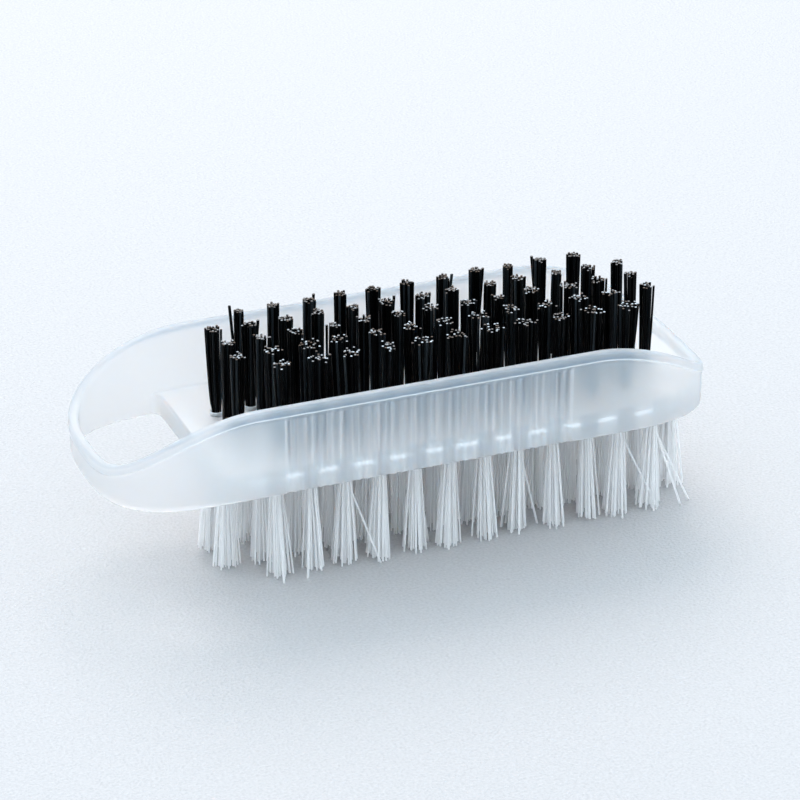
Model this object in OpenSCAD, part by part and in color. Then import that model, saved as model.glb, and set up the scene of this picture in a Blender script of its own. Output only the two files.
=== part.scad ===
// Two-sided nail brush: one moulded body with an open hand loop at one end, short
// black tufts on top of its plate and longer white tufts below.
// Millimetres. The brush stands on its white tufts at z = 0, with its length along X
// and the hand loop towards -X. The origin is under the middle of the body.

/* [Body] */
// Length of the body over its lip
body_length = 89; // [76:0.5:120]
// Width of the body over its lip
body_width = 31.1; // [27:0.1:40]
// Length of each rounded end, along the body
end_length = 18.2; // [12:0.1:24]
// Thickness of the wall below its lip
wall = 1.25; // [1:0.05:1.8]
// How far the wall reaches below the plate
skirt = 0.2; // [0.1:0.05:0.6]
// Height of the middle of the rim above the plate
rim_rise = 9.5; // [8.5:0.1:14]
// How far the rim comes down at each end
rim_drop = 8.2; // [4:0.1:9]
// Length of the level middle of the rim
rim_level = 48.6; // [30:0.1:60]
// Rounding of the wall's edges
edge_round = 0.35; // [0.2:0.05:0.45]

/* [Lip] */
// Height of the lip that runs round the rim
lip_height = 1.2; // [0.8:0.1:2]
// How far the lip stands out from the wall
lip_proud = 0.25; // [0.1:0.05:0.5]

/* [Plate] */
// Thickness of the plate that holds the tufts
plate_thickness = 3.2; // [2.6:0.1:6]
// Clear length of the hand loop, from the wall to the plate
loop_length = 14; // [10:0.5:18]

/* [Grip panels] */
// Length of the ribbed panel on each side
grip_length = 41.6; // [20:0.1:50]
// Depth of the panel in the wall
grip_depth = 0.3; // [0.1:0.05:0.4]
// Plain margin between the lip and the panel
grip_margin = 0.4; // [0.2:0.1:2]
// Distance from one rib to the next
rib_pitch = 1.3; // [1:0.1:3]
// Width of a rib
rib_width = 0.6; // [0.4:0.1:0.8]
// Height of a rib above the panel
rib_height = 0.15; // [0.05:0.05:0.25]

/* [Sockets] */
// Diameter of the socket that each tuft is set in
socket_d = 1.6; // [1.4:0.1:2]
// Plastic left between the black and the white sockets
socket_web = 0.4; // [0.3:0.1:0.8]
// Gap between a tuft's fused root and its socket
root_clearance = 0.05; // [0.02:0.01:0.1]

/* [Black tufts] */
// Length of the black tufts above the plate
black_length = 13; // [10:0.5:18]
// Tufts in a middle row
black_columns = 13; // [5:1:14]
// Distance of the first tuft from the plate's end at the loop
black_inset_loop = 5.35; // [2:0.05:8]
// Distance of the last tuft from the wall at the closed end
black_inset_end = 6.65; // [4:0.05:9]
// Distance of the outer rows from the side walls
black_inset_side = 5.05; // [3:0.05:7]
// Width of a black tuft at its tips
black_spread = 2; // [1.6:0.1:2.6]
// How far the tips of a black tuft stray to one side
black_lean = 0.3; // [0:0.05:0.4]

/* [White tufts] */
// Length of the white tufts below the plate
white_length = 16.2; // [12:0.1:20]
// Tufts in a middle row
white_columns = 14; // [5:1:14]
// Distance of the first tuft from the plate's end at the loop
white_inset_loop = 4.05; // [2:0.05:8]
// Distance of the last tuft from the wall at the closed end
white_inset_end = 1.9; // [1.6:0.05:6]
// Distance of the outer rows from the side walls
white_inset_side = 5.75; // [4:0.05:7]
// Width of a white tuft at its tips
white_spread = 2.8; // [2:0.1:3]
// How far the tips of a white tuft stray to one side
white_lean = 0.5; // [0:0.05:0.6]

/* [Hidden] */

// Rows run along X and are counted from the -Y side
black_rows = 5;
white_rows = 4;
// Strands that stand for the filaments of one tuft, and the sides of each
strands_per_tuft = 4;
strand_sides = 3;
// Each tuft strays in its own direction, turned on from the last by this angle
stray_turn = 137.5;

// Heights, from the tips of the white tufts up
plate_bottom = white_length;
plate_top = plate_bottom + plate_thickness;
wall_bottom = plate_bottom - skirt;
rim_top = plate_top + rim_rise;
lip_bottom = rim_top - lip_height - lip_proud;

// Half sizes of the wall's outer and inner faces
wall_half_length = body_length / 2 - lip_proud;
wall_half_width = body_width / 2 - lip_proud;
inner_half_length = wall_half_length - wall;
inner_half_width = wall_half_width - wall;

// The plate fills the body from the loop to the closed end
plate_start = loop_length - inner_half_length;
plate_end = inner_half_length;

// Exponents that square off the oval ends, along and across the body
end_power_x = 3.4;
end_power_y = 3.15;
end_steps = 14;
// Share of a corner's rounding that its middle point lies in from the corner
bevel_share = 1 - cos(45);

// Sockets
socket_depth = (plate_thickness - socket_web) / 2;
root_r = socket_d / 2 - root_clearance;
socket_sides = 12;
root_sides = 8;
// How far a cutter runs past the face that it cuts
overrun = socket_web;
// How deep the strands are fused into their root
root_bite = socket_depth / 4;

// A strand's radius and its distance from the tuft's middle, as shares of the tuft
root_size_share = 0.48;
root_place_share = 0.53;
tip_size_share = 0.42;
tip_place_share = 0.62;

// Plan of the body

// One quarter of an end, from its tip at 0 to its side at 1, in unit size
function end_shape(share) =
    let (angle = 90 * share * share * (3 - 2 * share))
    [pow(cos(angle), 2 / end_power_x), pow(sin(angle), 2 / end_power_y)];

function plan_point(step, x_side, y_side) =
    let (unit = end_shape(step / end_steps))
    [
        x_side * (wall_half_length - end_length + end_length * unit[0]),
        y_side * wall_half_width * unit[1],
    ];

// The wall's outer face seen from above, counterclockwise
plan = concat(
    [for (step = [0 : end_steps]) plan_point(step, 1, 1)],
    [for (step = [end_steps : -1 : 0]) plan_point(step, -1, 1)],
    [for (step = [1 : end_steps]) plan_point(step, -1, -1)],
    [for (step = [end_steps : -1 : 1]) plan_point(step, 1, -1)]
);
stations = len(plan);

// Direction straight out of the wall at a station
function outward(i) =
    let (
        along = plan[(i + 1) % stations] - plan[(i + stations - 1) % stations],
        across = [along[1], -along[0]]
    )
    across / norm(across);

// The plan moved out by a distance, or in where it is negative
function moved_plan(distance) = [for (i = [0 : stations - 1]) plan[i] + distance * outward(i)];

// Height of the rim at a distance along the body
function rim_height(x) =
    let (past = max(0, abs(x) - rim_level / 2) / (wall_half_length - rim_level / 2))
    rim_top - rim_drop * past * past;

// Section of the wall: distance out from its outer face, and height, for a rim height
function wall_section(rim) =
    let (bevel = edge_round * bevel_share)
    [
        [0, wall_bottom + edge_round],
        [-bevel, wall_bottom + bevel],
        [-edge_round, wall_bottom],
        [edge_round - wall, wall_bottom],
        [bevel - wall, wall_bottom + bevel],
        [-wall, wall_bottom + edge_round],
        [-wall, rim - edge_round],
        [bevel - wall, rim - bevel],
        [edge_round - wall, rim],
        [lip_proud - edge_round, rim],
        [lip_proud - bevel, rim - bevel],
        [lip_proud, rim - edge_round],
        [lip_proud, rim - lip_height],
        [0, rim - lip_height - lip_proud],
    ];
section_points = len(wall_section(rim_top));

function wall_vertex(i, point) =
    let (place = plan[i] + point[0] * outward(i))
    [place[0], place[1], point[1]];

function vertex_number(i, j) = (i % stations) * section_points + j % section_points;

// The wall as one closed band
module wall_band() {
    polyhedron(
        points = [
            for (i = [0 : stations - 1])
                for (point = wall_section(rim_height(plan[i][0])))
                    wall_vertex(i, point)
        ],
        faces = [
            for (i = [0 : stations - 1])
                for (j = [0 : section_points - 1])
                    for (half = [0, 1])
                        half == 0
                            ? [vertex_number(i, j), vertex_number(i + 1, j), vertex_number(i + 1, j + 1)]
                            : [vertex_number(i, j), vertex_number(i + 1, j + 1), vertex_number(i, j + 1)]
        ]
    );
}

// The plate runs into the middle of the wall all round and ends square at the loop
module plate() {
    translate([0, 0, plate_bottom])
        linear_extrude(height = plate_thickness)
            intersection() {
                polygon(moved_plan(-wall / 2));
                translate([plate_start, -body_width / 2])
                    square([body_length, body_width]);
            }
}

// What is cut from one side wall, down through its lower edge, to leave a shallow ribbed panel
module grip_cutter() {
    floor_y = wall_half_width - grip_depth;
    low = wall_bottom - overrun;
    high = lip_bottom - grip_margin;
    ribs = floor((grip_length - rib_width) / rib_pitch);
    first = -ribs * rib_pitch / 2;
    difference() {
        translate([-grip_length / 2, floor_y, low])
            cube([grip_length, grip_depth + overrun, high - low]);
        for (i = [0 : ribs])
            translate([first + i * rib_pitch - rib_width / 2, floor_y - overrun, low - overrun])
                cube([rib_width, overrun + rib_height, high - low + 2 * overrun]);
    }
}

// Places of the tufts

// X and Y of one tuft, from the first and last tuft's places and the rows' places
function between(first, last, i, count) = first + (last - first) * i / (count - 1);

function black_place(column, row) = [
    between(plate_start + black_inset_loop, plate_end - black_inset_end, column, black_columns),
    between(black_inset_side - inner_half_width, inner_half_width - black_inset_side, row, black_rows),
];

function white_place(column, row) = [
    between(plate_start + white_inset_loop, plate_end - white_inset_end, column, white_columns),
    between(white_inset_side - inner_half_width, inner_half_width - white_inset_side, row, white_rows),
];

// The two outer rows leave out their first and last tuft, at the rounded corners
function row_columns(row, rows, columns) =
    let (skip = row == 0 || row == rows - 1 ? 1 : 0)
    [skip : columns - 1 - skip];

module black_sockets() {
    for (row = [0 : black_rows - 1])
        for (column = row_columns(row, black_rows, black_columns))
            translate(concat(black_place(column, row), plate_top - socket_depth))
                cylinder(d = socket_d, h = socket_depth + overrun, $fn = socket_sides);
}

module white_sockets() {
    for (row = [0 : white_rows - 1])
        for (column = row_columns(row, white_rows, white_columns))
            translate(concat(white_place(column, row), plate_bottom - overrun))
                cylinder(d = socket_d, h = socket_depth + overrun, $fn = socket_sides);
}

module body() {
    color("aliceblue", 0.7)
        difference() {
            union() {
                wall_band();
                plate();
            }
            grip_cutter();
            mirror([0, 1, 0])
                grip_cutter();
            black_sockets();
            white_sockets();
        }
}

// Tufts

// Corners of a strand's cross-section, with one corner towards the tuft's middle
function strand_corners(middle, radius, turn, z) = [
    for (k = [0 : strand_sides - 1])
        let (angle = turn + 180 + k * 360 / strand_sides)
        [middle[0] + radius * cos(angle), middle[1] + radius * sin(angle), z]
];

// Number of a strand's corner, counted ring by ring from its fused end
function corner_number(ring, k) = ring * strand_sides + k % strand_sides;

// One strand from inside its root, through the plate's face, to its flat tip, in triangles
module strand(turn, spread, stray, length) {
    root_place = root_r * root_place_share * [cos(turn), sin(turn)];
    tip_place = spread / 2 * tip_place_share * [cos(turn), sin(turn)] + stray;
    rings = [
        strand_corners(root_place, root_r * root_size_share, turn, -root_bite),
        strand_corners(root_place, root_r * root_size_share, turn, 0),
        strand_corners(tip_place, spread / 2 * tip_size_share, turn, length),
    ];
    last = len(rings) - 1;
    polyhedron(
        points = [for (ring = rings) for (corner = ring) corner],
        faces = concat(
            [[for (k = [0 : strand_sides - 1]) corner_number(0, k)]],
            [[for (k = [strand_sides - 1 : -1 : 0]) corner_number(last, k)]],
            [
                for (ring = [0 : last - 1])
                    for (k = [0 : strand_sides - 1])
                        for (half = [0, 1])
                            [
                                corner_number(ring, k),
                                half == 0 ? corner_number(ring + 1, k + 1) : corner_number(ring + 1, k),
                                half == 0 ? corner_number(ring, k + 1) : corner_number(ring + 1, k + 1),
                            ]
            ]
        )
    );
}

// One tuft standing on the plate's face at z = 0, with its fused root in the socket
module tuft(spread, stray, length) {
    union() {
        translate([0, 0, -socket_depth])
            cylinder(r = root_r, h = socket_depth, $fn = root_sides);
        for (k = [0 : strands_per_tuft - 1])
            strand((k + 0.5) * 360 / strands_per_tuft, spread, stray, length);
    }
}

function stray_of(lean, row, column, columns) =
    let (angle = stray_turn * (row * columns + column))
    lean * [cos(angle), sin(angle)];

module black_row(row) {
    color("black")
        for (column = row_columns(row, black_rows, black_columns))
            translate(concat(black_place(column, row), plate_top))
                tuft(black_spread, stray_of(black_lean, row, column, black_columns), black_length);
}

module white_row(row) {
    color("white")
        for (column = row_columns(row, white_rows, white_columns))
            translate(concat(white_place(column, row), plate_bottom))
                mirror([0, 0, 1])
                    tuft(white_spread, stray_of(white_lean, row, column, white_columns), white_length);
}

module black_row_1() { black_row(0); }
module black_row_2() { black_row(1); }
module black_row_3() { black_row(2); }
module black_row_4() { black_row(3); }
module black_row_5() { black_row(4); }
module white_row_1() { white_row(0); }
module white_row_2() { white_row(1); }
module white_row_3() { white_row(2); }
module white_row_4() { white_row(3); }

body();
black_row_1();
black_row_2();
black_row_3();
black_row_4();
black_row_5();
white_row_1();
white_row_2();
white_row_3();
white_row_4();
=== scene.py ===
# %% [markdown]
# # A two-sided nail brush in frosted plastic
#
# The real brush is one injection moulding of frosted, slightly bluish plastic: a closed band with
# a plate across it. Short black tufts stand on the plate and longer white tufts hang below it.
# The measured CAD model of the brush is loaded first, as a frame that nothing here may move.
# Every piece made below takes its place from that frame, so nothing has to be fitted by eye.

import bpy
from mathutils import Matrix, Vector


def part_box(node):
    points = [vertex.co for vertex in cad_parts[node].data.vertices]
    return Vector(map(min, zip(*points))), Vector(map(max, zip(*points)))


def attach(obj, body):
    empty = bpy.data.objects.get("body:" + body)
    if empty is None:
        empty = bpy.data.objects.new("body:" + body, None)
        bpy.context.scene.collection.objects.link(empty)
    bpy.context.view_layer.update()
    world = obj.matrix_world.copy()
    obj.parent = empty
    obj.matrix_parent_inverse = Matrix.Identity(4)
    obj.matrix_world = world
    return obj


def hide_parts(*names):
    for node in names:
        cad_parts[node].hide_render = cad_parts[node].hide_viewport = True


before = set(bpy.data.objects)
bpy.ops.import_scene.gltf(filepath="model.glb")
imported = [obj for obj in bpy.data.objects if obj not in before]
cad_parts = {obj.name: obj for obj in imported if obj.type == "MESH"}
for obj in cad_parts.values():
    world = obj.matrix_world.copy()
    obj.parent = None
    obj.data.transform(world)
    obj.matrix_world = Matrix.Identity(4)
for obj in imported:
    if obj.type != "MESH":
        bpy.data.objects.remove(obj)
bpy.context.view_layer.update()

# %% Modules and the unit of length
import math

import bmesh
import bpy
import numpy as np
from mathutils import Matrix, Vector

MM = 0.001

# %% [markdown]
# ## The camera
#
# A camera is described best by what a photographer would note down: where it is aimed, from which
# side and how high, how far away, and with which lens. The place of the camera follows from these
# by a little trigonometry. A long lens from far away keeps the brush free of strong perspective.
# The lens and the sensor are in millimetres, because that is Blender's unit for them.

# %% The camera
CAMERA_AIM = Vector((4.75, 7.99, 14.77)) * MM
CAMERA_DISTANCE = 601.7 * MM
CAMERA_AZIMUTH = math.radians(-21.68)
CAMERA_ELEVATION = math.radians(26.21)
CAMERA_ROLL = math.radians(0.1)
CAMERA_LENS = 193.46
SENSOR_WIDTH = 36.0


def away(azimuth, elevation):
    """Unit vector from the object towards a viewer; azimuth 0 is the -Y side."""
    return Vector((
        math.sin(azimuth) * math.cos(elevation),
        -math.cos(azimuth) * math.cos(elevation),
        math.sin(elevation),
    ))


def aim(thing, target, direction, distance, roll=0.0):
    """Puts a camera or lamp at a distance from its target and turns it to face the target."""
    thing.location = target + direction * distance
    turn = (-direction).to_track_quat("-Z", "Y").to_matrix().to_4x4()
    thing.rotation_euler = (turn @ Matrix.Rotation(-roll, 4, "Z")).to_euler()


def add_object(name, data):
    """A new object that holds this camera, lamp or mesh, in the scene."""
    made = bpy.data.objects.new(name, data)
    bpy.context.scene.collection.objects.link(made)
    return made


camera_data = bpy.data.cameras.new("camera")
camera_data.lens = CAMERA_LENS
camera_data.sensor_width = SENSOR_WIDTH
camera = add_object("camera", camera_data)
aim(camera, CAMERA_AIM, away(CAMERA_AZIMUTH, CAMERA_ELEVATION), CAMERA_DISTANCE, CAMERA_ROLL)
bpy.context.scene.camera = camera
print("camera at", tuple(round(value, 4) for value in camera.location))

# %% [markdown]
# ## The light
#
# The picture is bright and soft, with one shadow that falls towards the viewer. So the light is
# a pale sky from all sides, and one large lamp high up behind the brush. The larger the lamp,
# the softer the edge of its shadow. Plain "Standard" colour keeps the pale tones pale.

# %% The light
SKY_COLOUR = (0.80, 0.91, 1.0, 1.0)
SKY_STRENGTH = 1.77
LAMP_COLOUR = (1.0, 0.83, 0.75)
LAMP_POWER = 6.2
LAMP_SIZE = 0.7
LAMP_DISTANCE = 1.1
LAMP_AZIMUTH = math.radians(172)
LAMP_ELEVATION = math.radians(50)

bpy.context.scene.view_settings.view_transform = "Standard"
sky = bpy.data.worlds.new("sky")
sky.use_nodes = True
background = sky.node_tree.nodes["Background"]
background.inputs["Color"].default_value = SKY_COLOUR
background.inputs["Strength"].default_value = SKY_STRENGTH
bpy.context.scene.world = sky

lamp_data = bpy.data.lights.new("lamp", "AREA")
lamp_data.energy = LAMP_POWER
lamp_data.size = LAMP_SIZE
lamp_data.color = LAMP_COLOUR
lamp = add_object("lamp", lamp_data)
aim(lamp, CAMERA_AIM, away(LAMP_AZIMUTH, LAMP_ELEVATION), LAMP_DISTANCE)
print("lamp at", tuple(round(value, 3) for value in lamp.location))

# %% [markdown]
# ## Light paths
#
# Hazy plastic and packed white filaments hand light on dozens of times before it gets out. A
# path tracer gives up after a few such steps, and what it drops is missing as greyness. So the
# limits are raised far enough for nearly all of the light to come out again.

# %% Light paths
PATH_STEPS = {
    "max_bounces": 128,
    "diffuse_bounces": 32,
    "glossy_bounces": 64,
    "transmission_bounces": 64,
    "volume_bounces": 64,
}

for limit, steps in PATH_STEPS.items():
    setattr(bpy.context.scene.cycles, limit, steps)
print("a light path may have", PATH_STEPS["max_bounces"], "steps")

# %% [markdown]
# ## Finishes as expressions
#
# A finish is a small network of nodes. It reads best as arithmetic, so a class wraps one output
# socket and gives it Python's operators: each operator adds one Math node. Everything else,
# from a noise to the shader itself, comes from one method of the finish.

# %% Wires between shader nodes


class Wire:
    """One output of a shader node, which numbers and other wires can be added to or scale."""

    def __init__(self, finish, socket):
        self.finish = finish
        self.socket = socket

    def math(self, operation, first, second):
        return self.finish.node("ShaderNodeMath", {"operation": operation}, {0: first, 1: second})

    def __add__(self, other):
        return self.math("ADD", self, other)

    def __radd__(self, other):
        return self.math("ADD", other, self)

    def __sub__(self, other):
        return self.math("SUBTRACT", self, other)

    def __rsub__(self, other):
        return self.math("SUBTRACT", other, self)

    def __mul__(self, other):
        return self.math("MULTIPLY", self, other)

    def __rmul__(self, other):
        return self.math("MULTIPLY", other, self)


# %% A finish


class Finish:
    """A material whose nodes are made one by one, ending in a shader."""

    def __init__(self, name):
        self.material = bpy.data.materials.new(name)
        self.material.use_nodes = True
        self.nodes = self.material.node_tree.nodes
        self.nodes.clear()

    def node(self, kind, settings=None, inputs=None, output=0):
        """Adds a node, sets it up, feeds its sockets with values or wires, and wraps one output."""
        made = self.nodes.new(kind)
        for name, value in (settings or {}).items():
            setattr(made, name, value)
        for name, value in (inputs or {}).items():
            if isinstance(value, Wire):
                self.material.node_tree.links.new(value.socket, made.inputs[name])
            else:
                made.inputs[name].default_value = value
        return Wire(self, made.outputs[output]) if len(made.outputs) else None

    def attribute(self, name):
        """A number that was stored on every point of the mesh."""
        return self.node("ShaderNodeAttribute", {"attribute_name": name}, output="Fac")

    def coordinate(self, axis):
        """One coordinate of the surface in object space: 0 is x, 1 is y and 2 is z."""
        place = self.node("ShaderNodeTexCoord", output="Object")
        return self.node("ShaderNodeSeparateXYZ", None, {"Vector": place}, axis)

    def rise(self, value, start, end):
        """0 at the start and 1 at the end, which may lie below the start."""
        limits = {0: value, 1: start, 2: end}
        return self.node("ShaderNodeMapRange", {"interpolation_type": "SMOOTHSTEP"}, limits)

    def window(self, value, low, high, fade):
        """1 between two limits and 0 beyond them, with a fade just inside each limit."""
        return self.rise(value, low, low + fade) * self.rise(value, high, high - fade)

    def waves(self, value, size, detail=0.0):
        """Values round 0.5 that wander along one direction only."""
        settings = {"noise_dimensions": "1D"}
        return self.node("ShaderNodeTexNoise", settings, {"W": value, "Scale": 1 / size, "Detail": detail})

    def noise(self, size, detail=2.0):
        """Cloudy values round 0.5 whose lumps are about this size, laid out in object space."""
        place = self.node("ShaderNodeTexCoord", output="Object")
        return self.node("ShaderNodeTexNoise", None, {"Vector": place, "Scale": 1 / size, "Detail": detail})

    def blend(self, share, first, second):
        """A colour between two others, which a Mix node keeps in its sockets 6 and 7."""
        return self.node(
            "ShaderNodeMix",
            {"data_type": "RGBA"},
            {"Factor": share, 6: first, 7: second},
            output=2,
        )

    def bump(self, height, depth):
        """A surface direction that follows a height field of this depth in metres."""
        return self.node("ShaderNodeBump", None, {"Height": height, "Distance": depth})

    def principled(self, **sockets):
        """A Principled shader; a socket's name has _ for each space."""
        named = {name.replace("_", " "): value for name, value in sockets.items()}
        return self.node("ShaderNodeBsdfPrincipled", None, named)

    def end(self, shader, haze=None):
        """Ends the finish with a shader, and with a haze inside if there is one."""
        ends = {"Surface": shader, "Volume": haze} if haze else {"Surface": shader}
        self.node("ShaderNodeOutputMaterial", None, ends)
        print("finish", self.material.name, "has", len(self.nodes), "nodes")
        return self.material


# %% [markdown]
# ## The floor
#
# The floor is one pale, faintly stippled sheet. The stipple is a fine noise that varies the colour
# a little and feeds the bump.

# %% The floor
FLOOR_SIZE = 3.0
FLOOR_LOW = (0.37, 0.37, 0.375, 1.0)
FLOOR_HIGH = (0.55, 0.545, 0.55, 1.0)
FLOOR_ROUGHNESS = 0.6
STIPPLE_SIZE = 0.4 * MM
STIPPLE_DEPTH = 0.2 * MM


def floor_finish():
    finish = Finish("pale_floor")
    stipple = finish.noise(STIPPLE_SIZE)
    return finish.end(finish.principled(
        Base_Color=finish.blend(stipple, FLOOR_LOW, FLOOR_HIGH),
        Roughness=FLOOR_ROUGHNESS,
        Normal=finish.bump(stipple, STIPPLE_DEPTH),
    ))


def mesh_object(name, vertices, faces):
    """A mesh object from points and the faces between them, in the scene."""
    mesh = bpy.data.meshes.new(name)
    mesh.from_pydata(vertices, [], faces)
    return add_object(name, mesh)


reach = FLOOR_SIZE / 2
floor = mesh_object(
    "floor",
    [(-reach, -reach, 0), (reach, -reach, 0), (reach, reach, 0), (-reach, reach, 0)],
    [(0, 1, 2, 3)],
)
floor.data.materials.append(floor_finish())

# %% [markdown]
# ## The body's sizes
#
# The frame gives the body's length, width and height, and the levels that the tufts' roots end
# at. The rest is named here: how thick the wall is, how the rim drops towards the ends, and the
# small lip, panel and fillets that a mould leaves.

# %% Sizes of the body
body_low, body_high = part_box("body")
LIP_PROUD = 0.25 * MM
LIP_HEIGHT = 1.2 * MM
WALL = 1.25 * MM
END_LENGTH = 18.2 * MM
RIM_LEVEL = 48.6 * MM
RIM_DROP = 8.2 * MM
LOOP_LENGTH = 14.0 * MM
SOCKET_DEPTH = 1.4 * MM
SOCKET_RADIUS = 0.8 * MM

half_length = (body_high.x - body_low.x) / 2 - LIP_PROUD
half_width = (body_high.y - body_low.y) / 2 - LIP_PROUD
rim_top = body_high.z
wall_bottom = body_low.z
plate_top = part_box("black_row_3")[0].z + SOCKET_DEPTH
plate_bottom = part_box("white_row_2")[1].z - SOCKET_DEPTH
plate_start = LOOP_LENGTH + WALL - half_length
print("plate from", round(plate_bottom, 5), "to", round(plate_top, 5), "and rim at", round(rim_top, 5))

# %% [markdown]
# ## The plan of the wall
#
# Seen from above, the wall is a straight band with rounded ends that are squarer than an ellipse.
# A "superellipse" draws such an end with one formula: its powers set how square the corner is.
# The straight sides get many more stations where the ribs of the grip panel need them.

# %% The plan
END_POWER_X = 3.4
END_POWER_Y = 3.15
END_STEPS = 26
SIDE_STEP = 0.5 * MM
GRIP_HALF = 20.8 * MM
GRIP_EDGE = 0.2 * MM
RIB_PITCH = 1.3 * MM
STATIONS_PER_RIB = 8


def ease(share):
    """0 to 1 with a soft start and end, also outside that range."""
    share = np.clip(share, 0.0, 1.0)
    return share * share * (3 - 2 * share)


def quarter_end():
    """Points of one rounded quarter, from the body's tip to where its straight side starts."""
    angle = math.pi / 2 * ease(np.linspace(0, 1, END_STEPS + 1))
    along = np.clip(np.cos(angle), 0, 1) ** (2 / END_POWER_X)
    across = np.sin(angle) ** (2 / END_POWER_Y)
    return np.column_stack([half_length - END_LENGTH + END_LENGTH * along, half_width * across])


def straight_side():
    """Stations along the +Y side between the two ends, dense over the grip panel."""
    corner = half_length - END_LENGTH
    plain = np.linspace(GRIP_HALF + GRIP_EDGE, corner, 1 + round((corner - GRIP_HALF) / SIDE_STEP))[:-1]
    ribbed = np.linspace(0, GRIP_HALF, 1 + round(GRIP_HALF / RIB_PITCH * STATIONS_PER_RIB))
    half = np.concatenate([ribbed, plain])
    along = np.concatenate([half[::-1], -half[1:]])
    return np.column_stack([along, np.full(len(along), half_width)])


def wall_plan():
    """The wall's outer face seen from above, counterclockwise."""
    right = quarter_end()
    left = right[::-1] * (-1, 1)
    upper = np.concatenate([right, straight_side(), left])
    lower = upper[::-1][1:-1] * (1, -1)
    return np.concatenate([upper, lower])


def outward(plan):
    """Unit directions straight out of a closed plan."""
    along = np.roll(plan, -1, axis=0) - np.roll(plan, 1, axis=0)
    across = np.column_stack([along[:, 1], -along[:, 0]])
    return across / np.linalg.norm(across, axis=1, keepdims=True)


plan = wall_plan()
print("the plan has", len(plan), "stations")

# %% [markdown]
# ## The wall's section
#
# The wall is swept: one section is drawn, in distance out from the wall's face and in height, and
# repeated at each station. Its heights follow the rim, which bows down at both ends. Its outer
# face sinks a little over the grip panel and rises again at each rib. Its inner face
# spreads into a small fillet where the plate joins it. All of that is one closed skin.

# %% The parts of the section
PLATE_FILLET = 0.45 * MM
FILLET_SINK = 0.03 * MM
GRIP_DEPTH = 0.3 * MM
RIB_HEIGHT = 0.17 * MM
ARC_STEPS = 4


def arc(middle, radius, first, last, steps=ARC_STEPS):
    """Points of an arc; angles in degrees, 0 along the first axis and 90 along the second."""
    x, y = middle
    angles = np.radians(np.linspace(first, last, steps + 1))
    return [(x + radius * math.cos(angle), y + radius * math.sin(angle)) for angle in angles]


def grip_share(x):
    """1 over the grip panel, falling to 0 at its two ends."""
    return ease((GRIP_HALF - abs(x)) / GRIP_EDGE)


def rib_share(x):
    """1 on the crest of each rib of the grip panel, and 0 midway between two ribs."""
    return 0.5 + 0.5 * np.cos(2 * math.pi * x / RIB_PITCH)


def panel_depth(x):
    """How far the outer face lies in at a station: the panel's depth less the rib's height."""
    return grip_share(x) * (GRIP_DEPTH - RIB_HEIGHT * rib_share(x))


def rim_height(x):
    """The top of the rim at a station: level in the middle, and bowed down to both ends."""
    past = np.maximum(0, abs(x) - RIM_LEVEL / 2) / (half_length - RIM_LEVEL / 2)
    return rim_top - RIM_DROP * past * past


def plate_fillet(size):
    """The fillet of the inner face onto the plate; a size of 0 leaves that face straight."""
    drop = PLATE_FILLET + FILLET_SINK
    return [
        (size * math.cos(turn) - size - WALL, plate_top + PLATE_FILLET - drop * math.sin(turn))
        for turn in np.radians(np.linspace(0, 90, ARC_STEPS + 1))
    ]


print("the rim drops from", round(rim_top, 5), "to", round(float(rim_height(half_length)), 5))

# %% The section
EDGE_ROUND = 0.35 * MM
RIM_ROUND = 0.45 * MM
LEDGE_ROUND = 0.1 * MM
LEDGE_SHARE = 0.7
SEAM = 0.1 * MM
GRIP_MARGIN = 0.4 * MM
FILLET_RUN_IN = 2.5 * MM
FILLET_FOOT = 2 * PLATE_FILLET


def wall_section(x):
    """The section at a station, as (distance out, height), up the outer face and down the inner."""
    depth = panel_depth(x)
    rim = rim_height(x)
    lip_low = rim - LIP_HEIGHT
    lip_foot = lip_low - LIP_PROUD
    panel_top = lip_foot - GRIP_MARGIN
    fillet = PLATE_FILLET * ease((x - plate_start - EDGE_ROUND) / FILLET_RUN_IN)
    return [
        *arc((-depth - EDGE_ROUND, wall_bottom + EDGE_ROUND), EDGE_ROUND, 270, 360),
        (-depth, panel_top - LEDGE_ROUND),
        (-depth * LEDGE_SHARE, panel_top),
        (0, panel_top + GRIP_DEPTH),
        (0, lip_foot - LEDGE_ROUND),
        (LEDGE_ROUND / 2, lip_foot),
        (LIP_PROUD - SEAM / 2, lip_low - SEAM / 2),
        (LIP_PROUD, lip_low),
        (LIP_PROUD - SEAM / 2, lip_low + SEAM),
        (LIP_PROUD - SEAM, lip_low + SEAM * 2),
        *arc((LIP_PROUD - SEAM - RIM_ROUND, rim - RIM_ROUND), RIM_ROUND, 0, 90),
        *arc((RIM_ROUND - WALL, rim - RIM_ROUND), RIM_ROUND, 90, 180),
        *plate_fillet(fillet),
        (-WALL, plate_top - FILLET_FOOT),
        *arc((EDGE_ROUND - WALL, wall_bottom + EDGE_ROUND), EDGE_ROUND, 180, 270),
    ]


# %% The wall as one swept skin


def around(count):
    """The pairs of neighbours in a closed ring of this many."""
    return list(zip(range(count), [*range(1, count), 0]))


def sweep(name, plan, sections, normals):
    """A closed skin through the sections that stand on a closed plan."""
    section = np.array(sections)
    points = section.shape[1]
    flat = plan[:, None, :] + section[:, :, :1] * normals[:, None, :]
    vertices = np.concatenate([flat, section[:, :, 1:]], axis=2).reshape(-1, 3)
    faces = [
        (i * points + j, k * points + j, k * points + m, i * points + m)
        for i, k in around(len(plan))
        for j, m in around(points)
    ]
    return mesh_object(name, vertices.tolist(), faces)


wall = sweep("moulded_body", plan, [wall_section(x) for x in plan[:, 0]], outward(plan))
print("the wall has", len(wall.data.polygons), "faces")

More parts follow.
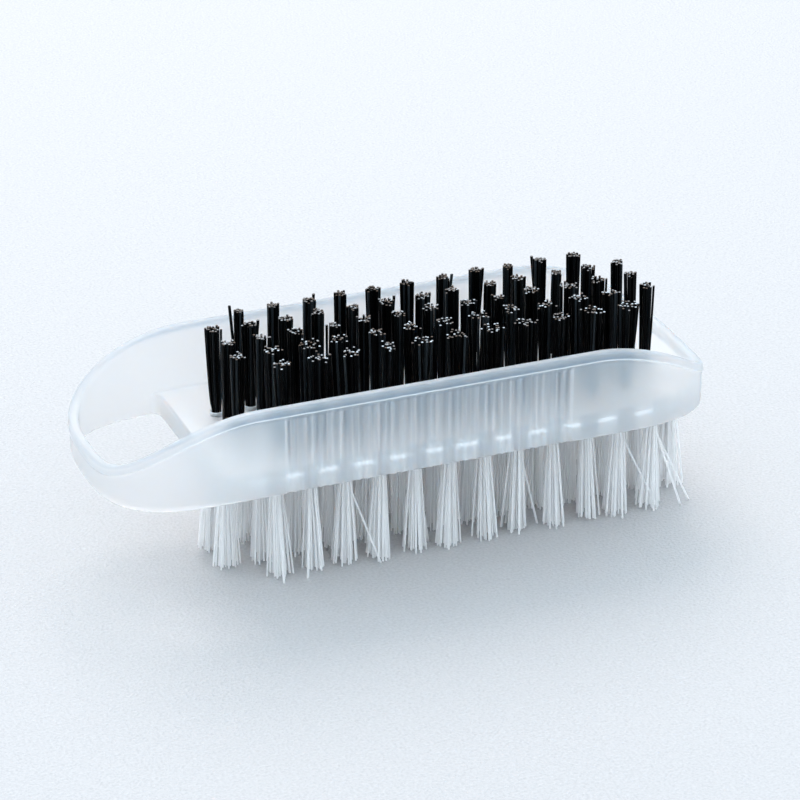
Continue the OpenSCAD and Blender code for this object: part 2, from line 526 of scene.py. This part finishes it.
# %% [markdown]
# ## The plate
#
# The plate fills the body from the hand loop to the closed end. It is drawn as an outline,
# pulled up to its thickness, and its edge at the loop is rounded with a bevel. In plan, its two
# corners at the loop flow into the side walls with a fillet. It ends in the middle of the wall
# all round, so that the two skins overlap cleanly before they are joined.

# %% The plate
CORNER_FILLET = 1.6 * MM
CORNER_STEPS = 8
LOOP_EDGE_ROUND = 0.45 * MM
ROUND_PROFILE = 0.5
FIND_MARGIN = 0.1 * MM


def loop_corner(side):
    """The fillet in plan where the plate's end meets one side wall, ending inside that wall."""
    middle = (plate_start - CORNER_FILLET, half_width - WALL - CORNER_FILLET)
    points = arc(middle, CORNER_FILLET, 0, 90, CORNER_STEPS)
    points.append((plate_start - CORNER_FILLET, half_width - WALL / 2))
    return [(x, side * y) for x, y in points]


def plate_outline():
    """The plate seen from above, counterclockwise from the closed end's tip."""
    end = quarter_end()
    upper = (end - outward(plan)[: len(end)] * WALL / 2).tolist()
    lower = [(x, -y) for x, y in upper[:0:-1]]
    return [*upper, *loop_corner(1)[::-1], *loop_corner(-1), *lower]


def is_loop_edge(edge):
    """Whether an edge of the plate lies level at the hand loop, between the side walls."""
    first, second = [corner.co for corner in edge.verts]
    far_x = max(first.x, second.x)
    far_y = max(abs(first.y), abs(second.y))
    at_loop = far_x < plate_start + FIND_MARGIN and far_y < half_width - WALL + FIND_MARGIN
    return at_loop and abs(first.z - second.z) < FIND_MARGIN


def make_plate():
    """The plate as a solid, with the edges round its loop end bevelled."""
    solid = bmesh.new()
    bottom = solid.faces.new([solid.verts.new((x, y, plate_bottom)) for x, y in plate_outline()])
    pulled = bmesh.ops.extrude_face_region(solid, geom=[bottom])["geom"]
    raised = [part for part in pulled if isinstance(part, bmesh.types.BMVert)]
    bmesh.ops.translate(solid, verts=raised, vec=(0, 0, plate_top - plate_bottom))
    bmesh.ops.recalc_face_normals(solid, faces=solid.faces)
    bmesh.ops.bevel(
        solid,
        geom=[edge for edge in solid.edges if is_loop_edge(edge)],
        offset=LOOP_EDGE_ROUND,
        segments=ARC_STEPS,
        profile=ROUND_PROFILE,
        affect="EDGES",
    )
    mesh = bpy.data.meshes.new("plate")
    solid.to_mesh(mesh)
    solid.free()
    return add_object("plate", mesh)


# %% Joining solids


def face_outwards(thing):
    """Turns a closed skin's faces to the outside."""
    solid = bmesh.new()
    solid.from_mesh(thing.data)
    bmesh.ops.recalc_face_normals(solid, faces=solid.faces)
    solid.to_mesh(thing.data)
    solid.free()


def combine(base, other, operation):
    """Joins the other solid to the base, or cuts it away, and removes the other."""
    face_outwards(base)
    face_outwards(other)
    modifier = base.modifiers.new(operation.lower(), "BOOLEAN")
    modifier.operation = operation
    modifier.object = other
    modifier.solver = "MANIFOLD"
    evaluated = base.evaluated_get(bpy.context.evaluated_depsgraph_get())
    result = bpy.data.meshes.new_from_object(evaluated)
    base.modifiers.clear()
    base.data = result
    bpy.data.objects.remove(other)
    print(operation.lower(), "leaves", len(result.polygons), "faces")


combine(wall, make_plate(), "UNION")

# %% [markdown]
# ## The sockets
#
# Each tuft is set in its own blind socket. The frame knows where: every row of tufts in the CAD
# model ends in small round roots, so the places are measured there instead of being typed again.
# One cutter holds all the sockets, and a small chamfer at each mouth catches the light. A black
# tuft also stands in a low collar, which shows where the first tufts of the field stand free.

# %% Places of the tufts
ROOT_LEVEL_GAP = 0.05 * MM
ROOT_SPACING = 2.0 * MM
BLACK_ROWS = [f"black_row_{number}" for number in range(1, 6)]
WHITE_ROWS = [f"white_row_{number}" for number in range(1, 5)]


def mesh_points(thing):
    """The points of an object's mesh, one to a line of the array."""
    return np.array([vertex.co for vertex in thing.data.vertices])


def tuft_places(node, level):
    """The middle of each tuft of a row, from the ends of its roots at this level."""
    points = mesh_points(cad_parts[node])
    ends = points[abs(points[:, 2] - level) < ROOT_LEVEL_GAP]
    ends = ends[ends[:, 0].argsort()]
    breaks = np.flatnonzero(np.diff(ends[:, 0]) > ROOT_SPACING) + 1
    return [(end.min(axis=0)[:2] + end.max(axis=0)[:2]) / 2 for end in np.split(ends, breaks)]


black_places = {node: tuft_places(node, plate_top - SOCKET_DEPTH) for node in BLACK_ROWS}
white_places = {node: tuft_places(node, plate_bottom + SOCKET_DEPTH) for node in WHITE_ROWS}
print("black tufts:", [len(places) for places in black_places.values()])
print("white tufts:", [len(places) for places in white_places.values()])

# %% Round solids


def stack(rings):
    """A closed solid through rings of equal size, as vertices and faces."""
    sides = len(rings[0])
    top = (len(rings) - 1) * sides
    vertices = [point for ring in rings for point in ring]
    faces = [
        (low + k, low + m, low + sides + m, low + sides + k)
        for low in range(0, top, sides)
        for k, m in around(sides)
    ]
    faces.append(tuple(range(sides))[::-1])
    faces.append(tuple(range(top, top + sides)))
    return vertices, faces


def circle(place, radius, z, sides):
    """One level ring of points round a place."""
    turns = [2 * math.pi * k / sides for k in range(sides)]
    return [(place[0] + radius * math.cos(turn), place[1] + radius * math.sin(turn), z) for turn in turns]


def turned(place, profile, face, into, sides):
    """A round solid at a face: its profile is (radius, distance), and into is 1 up or -1 down."""
    return stack([circle(place, radius, face + into * distance, sides) for radius, distance in profile])


def merge(parts):
    """Several (vertices, faces) pairs as one."""
    vertices, faces = [], []
    for more_vertices, more_faces in parts:
        start = len(vertices)
        vertices.extend(more_vertices)
        faces.extend(tuple(start + index for index in face) for face in more_faces)
    return vertices, faces


# %% The sockets
SOCKET_SIDES = 20
SOCKET_CHAMFER = 0.07 * MM
CUT_OVERRUN = 0.4 * MM
COLLAR_RADIUS = 0.94 * MM
COLLAR_HEIGHT = 0.65 * MM
COLLAR_ROUND = 0.05 * MM
COLLAR_FOOT = 0.3 * MM


def socket_cutter(place, face, into, proud):
    """One socket below a face, into the plate: 1 is up, -1 down. Its mouth may stand proud."""
    profile = [
        (SOCKET_RADIUS, SOCKET_DEPTH),
        (SOCKET_RADIUS, SOCKET_CHAMFER - proud),
        (SOCKET_RADIUS + SOCKET_CHAMFER, -proud),
        (SOCKET_RADIUS + SOCKET_CHAMFER, -CUT_OVERRUN - proud),
    ]
    return turned(place, profile, face, into, SOCKET_SIDES)


def collar(place):
    """The low collar round a black tuft, still solid, with its foot inside the plate."""
    profile = [
        (COLLAR_RADIUS, -COLLAR_FOOT),
        (COLLAR_RADIUS, COLLAR_HEIGHT - COLLAR_ROUND),
        (COLLAR_RADIUS - COLLAR_ROUND, COLLAR_HEIGHT),
    ]
    return turned(place, profile, plate_top, 1, SOCKET_SIDES)


black_spots = [place for places in black_places.values() for place in places]
white_spots = [place for places in white_places.values() for place in places]
combine(wall, mesh_object("collars", *merge([collar(place) for place in black_spots])), "UNION")
cutters = [socket_cutter(place, plate_top, -1, COLLAR_HEIGHT) for place in black_spots]
cutters += [socket_cutter(place, plate_bottom, 1, 0.0) for place in white_spots]
combine(wall, mesh_object("sockets", *merge(cutters)), "DIFFERENCE")

# %% [markdown]
# ## Frosted plastic
#
# Frosted polypropylene is clear in itself. What makes it milky is a haze of tiny crystals all
# through it, and a mould with a satin skin. Both are made here as what they are: a rough clear
# surface, and inside it a haze that scatters light. The crystals scatter blue more than red, so
# the plastic looks bluish before the black tufts and nearly white where light comes through it.
# Cloudy flow marks from the mould tint it faintly, and a fine grain makes its skin uneven.
#
# Only the outside of the mould is satin. Its inside is polished, so the plate and its sockets
# look clearer. A number stored on every point says how far outside it lies, and the finish turns
# that into roughness.
#
# Two more numbers are stored the same way. One says how far the skin turns to milk: the collars
# are milky, and painted highlights lie along the seam under the lip, at both ends of the grip
# panel and on the crests of its ribs. The other is painted shade: it darkens the lip and the crown
# of the rim and tints them bluer than the wall, and on the lip it fades towards both ends. What
# follows no edge is drawn in the finish itself: the pale marks over the sockets that come near the
# wall, painted shade on the plate's band between them, which fades towards both ends, the fine
# upright streaks of the grip panel, pale and painted shade, a painted highlight along the wall's
# lower edge at the hand loop, and painted light that makes the plate's top face milkier.

# %% The plate seen through the wall
MARK_WANDER = 2.4 * MM
MARK_LEVELS = (0.1, 0.85)
MARK_DROP = 0.85 * MM
MARK_HEIGHT = 0.62 * MM
MARK_SHARE = 0.5
COMB_SHARE = 0.5
COLUMN_SHARE = 0.12
BAND_SHARE = 0.15
BAND_SOFT = 0.8 * MM
BAND_FADE = 10.0 * MM
BAND_STOP = 5.0 * MM


def socket_lumps(finish, x):
    """Along the wall: 1 where a white tuft's socket lies behind it, 0 between two of them."""
    first, second = white_places["white_row_1"][:2]
    turns = (x - first[0]) * (2 * math.pi / (second[0] - first[0]))
    comb = COMB_SHARE * finish.node("ShaderNodeMath", {"operation": "COSINE"}, {0: turns})
    return finish.rise(comb + finish.waves(x, MARK_WANDER), *MARK_LEVELS)


def plate_pattern(finish, x, z):
    """How pale the wall is over the sockets, and how shaded it is between them."""
    lumps = socket_lumps(finish, x)
    level = plate_top - MARK_DROP
    marks = lumps * finish.window(z, level - MARK_HEIGHT, level + MARK_HEIGHT, MARK_HEIGHT)
    # Painted shade on the plate's band between the sockets, fading towards both ends.
    band = finish.rise(z, plate_top + BAND_SOFT, plate_top)
    band = band * finish.window(x, plate_start, half_length - BAND_STOP, BAND_FADE)
    return band * (MARK_SHARE * marks + COLUMN_SHARE * lumps), BAND_SHARE * band * (1 - lumps)


# %% Streaks and edges of the side
STREAK_SIZE = 0.6 * MM
STREAK_DETAIL = 3.0
STREAK_LEVELS = (0.45, 0.7)
STREAK_SHARE = 0.12
STREAK_SHADE = 0.25
STREAK_FADE = 2.0 * MM
# Painted highlight along the wall's lower edge at the hand loop, and painted light on the plate's top face.
EDGE_HIGHLIGHT = 0.5
EDGE_REACH = 0.8 * MM
EDGE_FADE = 5.0 * MM
PLATE_TOP_LIGHT = 0.25
PLATE_REACH = 0.03 * MM


def panel_streaks(finish, x, z):
    """How pale and how shaded the fine upright streaks of the grip panel are."""
    panel = finish.window(x, -GRIP_HALF, GRIP_HALF, GRIP_EDGE)
    panel = panel * finish.rise(z, plate_top - BAND_SOFT, plate_top + STREAK_FADE)
    streak = finish.waves(x, STREAK_SIZE, STREAK_DETAIL)
    pale = STREAK_SHARE * panel * finish.rise(streak, *STREAK_LEVELS)
    return pale, STREAK_SHADE * panel * finish.rise(streak, *STREAK_LEVELS[::-1])


def drawn_shares(finish):
    """How far what is drawn in the finish turns the skin milky or paints light on it, and how far it paints
    shade.
    """
    x, z = finish.coordinate(0), finish.coordinate(2)
    outside = finish.attribute("outside")
    plate_pale, plate_shade = plate_pattern(finish, x, z)
    streak_pale, streak_shade = panel_streaks(finish, x, z)
    # Painted highlight along the lower edge, fading away from the hand loop.
    edge = finish.rise(z, wall_bottom + EDGE_REACH, wall_bottom)
    edge = edge * finish.rise(x, plate_start + EDGE_FADE, plate_start)
    pale = plate_pale + EDGE_HIGHLIGHT * edge + streak_pale
    # Painted light: the plate's top face turns milkier, so it reads lighter.
    top = finish.window(z, plate_top - PLATE_REACH, plate_top + PLATE_REACH, PLATE_REACH)
    return outside * pale + PLATE_TOP_LIGHT * (1 - outside) * top, outside * (plate_shade + streak_shade)


# %% The finish of the body
PLASTIC_PALE = (1.0, 1.0, 1.0, 1.0)
PLASTIC_DEEP = (0.99, 0.995, 1.0, 1.0)
PLASTIC_TRANSMISSION = 0.96
PLASTIC_IOR = 1.36
PLASTIC_POLISH = 0.3
PLASTIC_SATIN = 0.13
# The milky colour also serves as painted highlight on the body.
PLASTIC_MILK_AND_HIGHLIGHT = (0.95, 0.97, 0.98, 1.0)
MILK_AND_HIGHLIGHT_ROUGHNESS = 0.5
# The colour of painted shade: it darkens the plastic and tints it bluer.
PLASTIC_SHADED = (0.28, 0.38, 0.5, 1.0)
HAZE_COLOUR = (0.60, 0.82, 1.0, 1.0)
HAZE_DENSITY = 570.0
FLOW_MARKS = 6.0 * MM
GRAIN = 0.16 * MM
GRAIN_DEPTH = 0.002 * MM
GRAIN_ROUGHNESS = 0.08


def plastic_finish():
    """The clear skin with its haze, turned into milk at its pale marks and where painted highlights lie."""
    finish = Finish("frosted_plastic")
    milk_and_highlight, shaded = drawn_shares(finish)
    outside = finish.attribute("outside")
    grain = finish.noise(GRAIN)
    haze = finish.node("ShaderNodeVolumeScatter", None, {"Color": HAZE_COLOUR, "Density": HAZE_DENSITY})
    clear = finish.blend(finish.noise(FLOW_MARKS), PLASTIC_DEEP, PLASTIC_PALE)
    skin = finish.principled(
        # Base colour: painted shade where the stored and the drawn shade lie.
        Base_Color=finish.blend(finish.attribute("shaded") + shaded, clear, PLASTIC_SHADED),
        Roughness=PLASTIC_POLISH + PLASTIC_SATIN * outside + GRAIN_ROUGHNESS * grain,
        Transmission_Weight=PLASTIC_TRANSMISSION,
        IOR=PLASTIC_IOR,
        Normal=finish.bump(grain, GRAIN_DEPTH),
    )
    # The milk makes the collars and pale marks milky, and stands in for the painted highlights.
    milk_and_highlight_shader = finish.principled(Base_Color=PLASTIC_MILK_AND_HIGHLIGHT, Roughness=MILK_AND_HIGHLIGHT_ROUGHNESS)
    share = finish.attribute("milk_and_highlight") + milk_and_highlight
    return finish.end(finish.node("ShaderNodeMixShader", None, {"Fac": share, 1: skin, 2: milk_and_highlight_shader}), haze)


# %% Where the skin is outside, milky, painted light and painted shade
# Painted highlights along the seam under the lip, at the ends of the grip panel and on the rib crests; the
# collars are milky.
SEAM_HIGHLIGHT = 0.55
SEAM_REACH = 0.16 * MM
STEP_HIGHLIGHT = 0.3
STEP_REACH = 0.28 * MM
STEP_FADE = 6.0 * MM
RIB_HIGHLIGHT = 0.07
COLLAR_BLEACH = 0.45
COLLAR_FADE = 0.1 * MM
COLLAR_INSET = 1.5 * WALL
# Painted shade on the crown of the rim and along the lip; on the lip it fades towards both ends.
CREST_SHADE = 0.27
CREST_REACH = 0.5 * MM
LIP_SHADE = 0.95
LIP_SHADE_DEPTH = 0.9 * MM
LIP_SHADE_REACH = 0.4 * MM
LIP_SHADE_LOSS = 0.8
LIP_SHADE_FADE = 12.0 * MM


def depth_inside(points):
    """How far each point lies from the wall's outer face, seen from above."""
    return np.linalg.norm(points[:, None, :2] - plan[None, :, :], axis=2).min(axis=1)


def outside_share(points):
    """1 on the body's outer face below the lip, falling to 0 inside the wall and on the lip."""
    lip_low = rim_height(points[:, 0]) - LIP_HEIGHT
    return (1 - ease(depth_inside(points) / WALL)) * ease((lip_low - points[:, 2]) / LIP_PROUD)


def near(values, middle, reach):
    """1 at the middle, falling softly to 0 at this reach on both sides."""
    return ease(1 - abs(values - middle) / reach)


def skin_shares(points):
    """How far each point of the body's skin turns milky or takes a painted highlight, and how far it takes
    painted shade.
    """
    x, z = points[:, 0], points[:, 2]
    inside = depth_inside(points)
    outer = 1 - ease((inside - GRIP_DEPTH) / (WALL / 2))
    under = rim_height(x) - z
    face = outer * ease((under - LIP_HEIGHT) / LIP_PROUD)
    panel_end = near(abs(x), GRIP_HALF, STEP_REACH) * ease((z - plate_top) / STEP_FADE)
    # Painted highlight at the seam, the panel's ends and the rib crests, and milk on the collars.
    milk_and_highlight = np.maximum.reduce([
        SEAM_HIGHLIGHT * outer * near(under, LIP_HEIGHT, SEAM_REACH),
        STEP_HIGHLIGHT * face * panel_end,
        RIB_HIGHLIGHT * face * grip_share(x) * rib_share(x),
        COLLAR_BLEACH * ease((z - plate_top) / COLLAR_FADE) * (inside > COLLAR_INSET),
    ])
    # Painted shade: the lip band darkens and turns bluer, less towards both ends, and so does the rim's
    # crown.
    faded = 1 - LIP_SHADE_LOSS * ease((abs(x) - RIM_LEVEL / 2) / LIP_SHADE_FADE)
    shaded = np.maximum(
        LIP_SHADE * faded * outer * near(under, LIP_SHADE_DEPTH, LIP_SHADE_REACH),
        CREST_SHADE * near(under, 0, CREST_REACH),
    )
    return milk_and_highlight, shaded


# %% Dressing the body
BODY_SHARP_ANGLE = math.radians(40)


def smooth(thing, angle):
    """Shades a skin smooth, with crisp edges only where it turns by more than an angle."""
    thing.data.shade_smooth()
    thing.data.set_sharp_from_angle(angle=angle)


def store(thing, label, values):
    """Keeps one number for each point of a mesh under a label that finishes can read."""
    thing.data.attributes.new(label, "FLOAT", "POINT").data.foreach_set("value", values)


smooth(wall, BODY_SHARP_ANGLE)
weighted = wall.modifiers.new("flat_faces_stay_flat", "WEIGHTED_NORMAL")
weighted.keep_sharp = True
skin_points = mesh_points(wall)
store(wall, "outside", outside_share(skin_points))
for label, values in zip(("milk_and_highlight", "shaded"), skin_shares(skin_points)):
    store(wall, label, values)
    print(label, "up to", round(float(values.max()), 2))
wall.data.materials.clear()
wall.data.materials.append(plastic_finish())
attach(wall, "root")
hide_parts("body")

# %% [markdown]
# ## Filaments
#
# A tuft is a bundle of nylon filaments, a quarter to a third of a millimetre thick, fused to a
# root. Sunflower seeds show how to pack any number of them evenly in a circle: each is turned on
# from the last by the golden angle, and set further out by a square root. The filaments leave
# the root side by side, spread towards their tips, and were cut level, though never quite. A
# stray keeps to its tuft for a while and then heads off by itself.

# %% One filament and one root
FILAMENT_SIDES = 7
TIP_BEVEL = 0.05 * MM
TIP_SHARE = 0.92
ROOT_SIDES = 16
ROOT_RADIUS = 0.73 * MM
ROOT_DOME = 0.12 * MM
ROOT_END_SHARE = 0.9
ROOT_DOME_SHARES = (0.8, 0.4)


def filament(path, radius):
    """One filament along its path of points, as vertices and faces, with a bevelled cut end."""
    direction = path[-1] - path[-2]
    direction = direction / np.linalg.norm(direction)
    path = np.vstack([path[:-1], path[-1] - direction * TIP_BEVEL, path[-1]])
    radii = [radius] * (len(path) - 1) + [radius * TIP_SHARE]
    return stack([circle(point, size, point[2], FILAMENT_SIDES) for point, size in zip(path, radii)])


def root(place, face, into):
    """The fused end of a tuft in its socket, slightly domed at the plate's face."""
    low_share, high_share = ROOT_DOME_SHARES
    profile = [
        (ROOT_RADIUS * ROOT_END_SHARE, SOCKET_DEPTH - TIP_BEVEL),
        (ROOT_RADIUS, SOCKET_DEPTH - ROOT_DOME),
        (ROOT_RADIUS, ROOT_DOME),
        (ROOT_RADIUS * low_share, 0.0),
        (ROOT_RADIUS * high_share, -ROOT_DOME / 2),
    ]
    return turned(place, profile, face, into, ROOT_SIDES)


# %% The paths of a tuft's filaments
BUNDLE_RADIUS = 0.6 * MM
GOLDEN_ANGLE = math.radians(137.508)
SPREAD_RANGE = (0.75, 1.2)
FILAMENT_START = 2 * ROOT_DOME
LEVELS = np.array([0.0, 0.07, 0.16, 0.3, 0.5, 0.75, 1.0])
LEAVES = 0.07
STRAY_LEAVES = 0.3


def turned_seeds(count, rng):
    """Evenly packed places in a circle of radius 1, turned so that no two tufts are alike."""
    k = np.arange(count)
    radius = np.sqrt((k + 0.5) / count)
    places = np.column_stack([radius * np.cos(k * GOLDEN_ANGLE), radius * np.sin(k * GOLDEN_ANGLE)])
    turn = rng.uniform(0, 2 * math.pi)
    across = np.array([[math.cos(turn), math.sin(turn)], [-math.sin(turn), math.cos(turn)]])
    return places @ across


def way_out(leaves):
    """How far out a filament is at each level of its height, if it leaves the bundle at one."""
    return np.clip((LEVELS - leaves) / (1 - leaves), 0, 1)


def tuft_paths(place, face, tip, style, strays, rng):
    """Paths of a tuft's filaments from inside its root to their tips, strays first."""
    count = style["filaments"]
    up = np.sign(tip - face)
    seeds = turned_seeds(count, rng)
    seeds = seeds[np.argsort(-np.linalg.norm(seeds, axis=1))]
    lean_turn = rng.uniform(0, 2 * math.pi)
    lean = style["lean"] * rng.uniform(0, 1) * np.array([math.cos(lean_turn), math.sin(lean_turn)])
    spread = style["spread"] * rng.uniform(*SPREAD_RANGE)
    starts = place + seeds * BUNDLE_RADIUS
    ends = place + seeds * spread + lean + rng.normal(0, style["jitter"], seeds.shape)
    heights = tip - up * np.abs(rng.normal(0, style["uneven"], count))
    shares = np.tile(way_out(LEAVES) ** style["bow"], (count, 1))
    for number, stray in enumerate(strays):
        ends[number] = place + np.array(stray) * MM
        starts[number] = place + BUNDLE_RADIUS * np.array(stray) / np.linalg.norm(stray)
        heights[number] = tip
        shares[number] = way_out(STRAY_LEAVES)
    flat = starts[:, None, :] + (ends - starts)[:, None, :] * shares[:, :, None]
    foot = face - up * FILAMENT_START
    z = foot + (heights[:, None] - foot) * LEVELS[None, :]
    return np.concatenate([flat, z[:, :, None]], axis=2)


print("a filament's path has", len(LEVELS), "points")

# %% [markdown]
# ## A row of tufts
#
# Each row becomes one mesh, which stands for the row of the CAD model. Two numbers are stored on
# every point of it for the finish to read: how bright the painted glint is on the cut end that the
# point belongs to, and a tone of its own for each filament, which varies the white ones a little
# and gives a few black ones a painted highlight. At the end all faces are turned outwards,
# because a haze is only seen through a skin that faces outwards.

# %% Rows
FOOT_TONE_AND_HIGHLIGHT = 0.5
STRAY_THICKNESS = 1.3
CUT_RANGE = (0.1, 1.0)
CUT_RARITY = 2
TUFT_SHARP_ANGLE = math.radians(64)


def tuft_parts(place, face, tip, style, strays, rng):
    """The root and the filaments of a tuft, each with the glint painted on its cut end and its own tone."""
    into = -1 if tip > face else 1
    yield root(place, face, into), 0.0, FOOT_TONE_AND_HIGHLIGHT
    for number, path in enumerate(tuft_paths(place, face, tip, style, strays, rng)):
        thickness = STRAY_THICKNESS if number < len(strays) else 1.0
        # Each cut end gets a painted glint of its own brightness; each filament a tone, a painted highlight
        # on a few black ones.
        cut = rng.uniform(*CUT_RANGE) ** CUT_RARITY * style["cut"]
        tone_and_highlight = rng.uniform(0, 1) ** style["rarity"]
        yield filament(path, style["radius"] * thickness), cut, tone_and_highlight


def make_row(name, places, face, tip, style, strays, seed):
    """A row of tufts as one mesh, with a painted glint stored for each cut end and a tone for each
    filament.
    """
    rng = np.random.default_rng(seed)
    parts, cuts, tones_and_highlights = [], [], []
    for column, place in enumerate(places):
        for part, cut, tone_and_highlight in tuft_parts(place, face, tip, style, strays.get(column, []), rng):
            points = len(part[0])
            parts.append(part)
            cuts += [0.0] * (points - FILAMENT_SIDES) + [cut] * FILAMENT_SIDES
            tones_and_highlights += [tone_and_highlight] * points
    made = mesh_object(name, *merge(parts))
    face_outwards(made)
    store(made, "cut", cuts)
    store(made, "tone_and_highlight", tones_and_highlights)
    smooth(made, TUFT_SHARP_ANGLE)
    print(name, "has", len(places), "tufts and", len(made.data.polygons), "faces")
    return made


# %% [markdown]
# ## Nylon
#
# Both kinds of filament are satin nylon. The black one is almost black along its length, with
# thin cool highlights painted on a few filaments, and a painted glint at its cut end. The white one
# is partly clear, with a dense haze inside: light enters it and comes out elsewhere, so its shaded
# side stays bright. It bends light only a little, because packed filaments would otherwise show as
# hard dark lines.

# %% Finishes of the filaments
# The brighter black is a painted highlight on a few filaments; the cut colours are a painted glint,
# brownish where dim and cool where bright.
BLACK_LOW = (0.0004, 0.0005, 0.0006, 1.0)
BLACK_HIGHLIGHT = (0.022, 0.028, 0.032, 1.0)
BLACK_GLINT_LOW = (0.09, 0.06, 0.04, 1.0)
BLACK_GLINT_HIGH = (0.6, 0.68, 0.74, 1.0)
BLACK_ROUGHNESS = 0.3
BLACK_SPECULAR = 0.05
WHITE_LOW = (0.985, 0.985, 0.985, 1.0)
WHITE_HIGH = (1.0, 1.0, 1.0, 1.0)
WHITE_ROUGHNESS = 0.45
WHITE_TRANSMISSION = 0.65
WHITE_IOR = 1.08
WHITE_HAZE = {"Color": (0.95, 0.98, 1.0, 1.0), "Density": 1500.0}
NYLON_GRAIN = 0.7 * MM
NYLON_GRAIN_ROUGHNESS = 0.15
CUT_THRESHOLD = 0.01


def nylon_finish(name, low, high, end_low, end_high, roughness, haze=None, **extra):
    """Satin filament with a tone of its own, a painted highlight on a few black ones, and a painted glint
    on its cut end.
    """
    finish = Finish(name)
    cut = finish.attribute("cut")
    is_end = finish.node("ShaderNodeMath", {"operation": "GREATER_THAN"}, {0: cut, 1: CUT_THRESHOLD})
    length_colour = finish.blend(finish.attribute("tone_and_highlight"), low, high)
    shader = finish.principled(
        # Base colour: the filament's tone, a painted highlight on a few black ones, and a painted glint on
        # the cut end.
        Base_Color=finish.blend(is_end, length_colour, finish.blend(cut, end_low, end_high)),
        Roughness=roughness + NYLON_GRAIN_ROUGHNESS * finish.noise(NYLON_GRAIN),
        **extra,
    )
    return finish.end(shader, finish.node("ShaderNodeVolumeScatter", None, haze) if haze else None)


black_nylon = nylon_finish(
    "black_nylon", BLACK_LOW, BLACK_HIGHLIGHT, BLACK_GLINT_LOW, BLACK_GLINT_HIGH, BLACK_ROUGHNESS,
    Specular_IOR_Level=BLACK_SPECULAR,
)
white_nylon = nylon_finish(
    "white_nylon", WHITE_LOW, WHITE_HIGH, WHITE_HIGH, WHITE_HIGH, WHITE_ROUGHNESS, WHITE_HAZE,
    Transmission_Weight=WHITE_TRANSMISSION, IOR=WHITE_IOR,
)

# %% [markdown]
# ## The two fields of tufts
#
# The black tufts are short and stiff, and stay close. The white ones are long and soft: they
# splay, lean and let single filaments wander far out. The strays that show most are listed, as the
# millimetres that each tip lies from the middle of its tuft.
#
# A style says how untidy its tufts are. Spread is how far the outer tips lie from the middle of
# a tuft, lean is how far a whole tuft may tip, jitter how far single tips wander, and uneven how
# much too short they may be cut. With a bow under 1 the filaments part early. The cut value says
# how bright the painted glint on the cut ends is, and the greater the rarity, the fewer filaments
# take the brighter colour, which on the black tufts is a painted highlight.

# %% The black tufts
BLACK_STYLE = {
    "filaments": 20,
    "radius": 0.165 * MM,
    "lean": 0.45 * MM,
    "uneven": 0.18 * MM,
    "bow": 0.55,
    "rarity": 6,
}
BLACK_SPREADS = [1.35 * MM, 1.3 * MM, 1.0 * MM, 0.92 * MM, 0.88 * MM]
BLACK_JITTERS = [0.3 * MM, 0.24 * MM, 0.15 * MM, 0.08 * MM, 0.06 * MM]
BLACK_GLINT_LOSS = 0.17
BLACK_STRAYS = {
    "black_row_4": {
        1: [(1.4, 0.3)],
        5: [(1.5, 0.8)],
        6: [(1.4, -0.1)],
    },
    "black_row_5": {
        0: [(-0.7, 1.5)],
        2: [(1.4, 0.9)],
        6: [(1.5, -0.2)],
        7: [(1.3, 0.1)],
        9: [(-0.8, 1.3)],
    },
}
BLACK_SEED = 11

for number, (node, places) in enumerate(black_places.items()):
    style = {
        **BLACK_STYLE,
        # The painted glint on the cut ends dims row by row towards the back.
        "cut": 1.0 - BLACK_GLINT_LOSS * number,
        "spread": BLACK_SPREADS[number],
        "jitter": BLACK_JITTERS[number],
    }
    row = make_row(
        f"black_tufts_{number + 1}", places, plate_top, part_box(node)[1].z,
        style, BLACK_STRAYS.get(node, {}), BLACK_SEED + number,
    )
    row.data.materials.append(black_nylon)
    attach(row, "root")
    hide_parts(node)

# %% The white tufts
WHITE_STYLE = {
    "filaments": 38,
    "radius": 0.135 * MM,
    "spread": 1.75 * MM,
    "lean": 0.8 * MM,
    "jitter": 0.3 * MM,
    "uneven": 0.36 * MM,
    "bow": 0.8,
    "cut": 1.0,
    "rarity": 1,
}
WHITE_STRAYS = {
    "white_row_1": {
        0: [(0.2, -2.4)],
        1: [(-1.4, -2.3)],
        2: [(4.4, -1.8)],
        4: [(2.6, 1.5)],
        7: [(3.5, 0.9)],
        10: [(5.8, -1.2)],
        11: [(4.1, -1.5), (5.8, -0.6)],
    },
}
WHITE_SEED = 31

for number, (node, places) in enumerate(white_places.items()):
    row = make_row(
        f"white_tufts_{number + 1}", places, plate_bottom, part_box(node)[0].z,
        WHITE_STYLE, WHITE_STRAYS.get(node, {}), WHITE_SEED + number,
    )
    row.data.materials.append(white_nylon)
    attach(row, "root")
    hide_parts(node)

# %% [markdown]
# ## The last update
#
# The scene is brought up to date once more at the end. The dressed brush may not outgrow the
# measured one.

# %% The last update
bpy.context.view_layer.update()
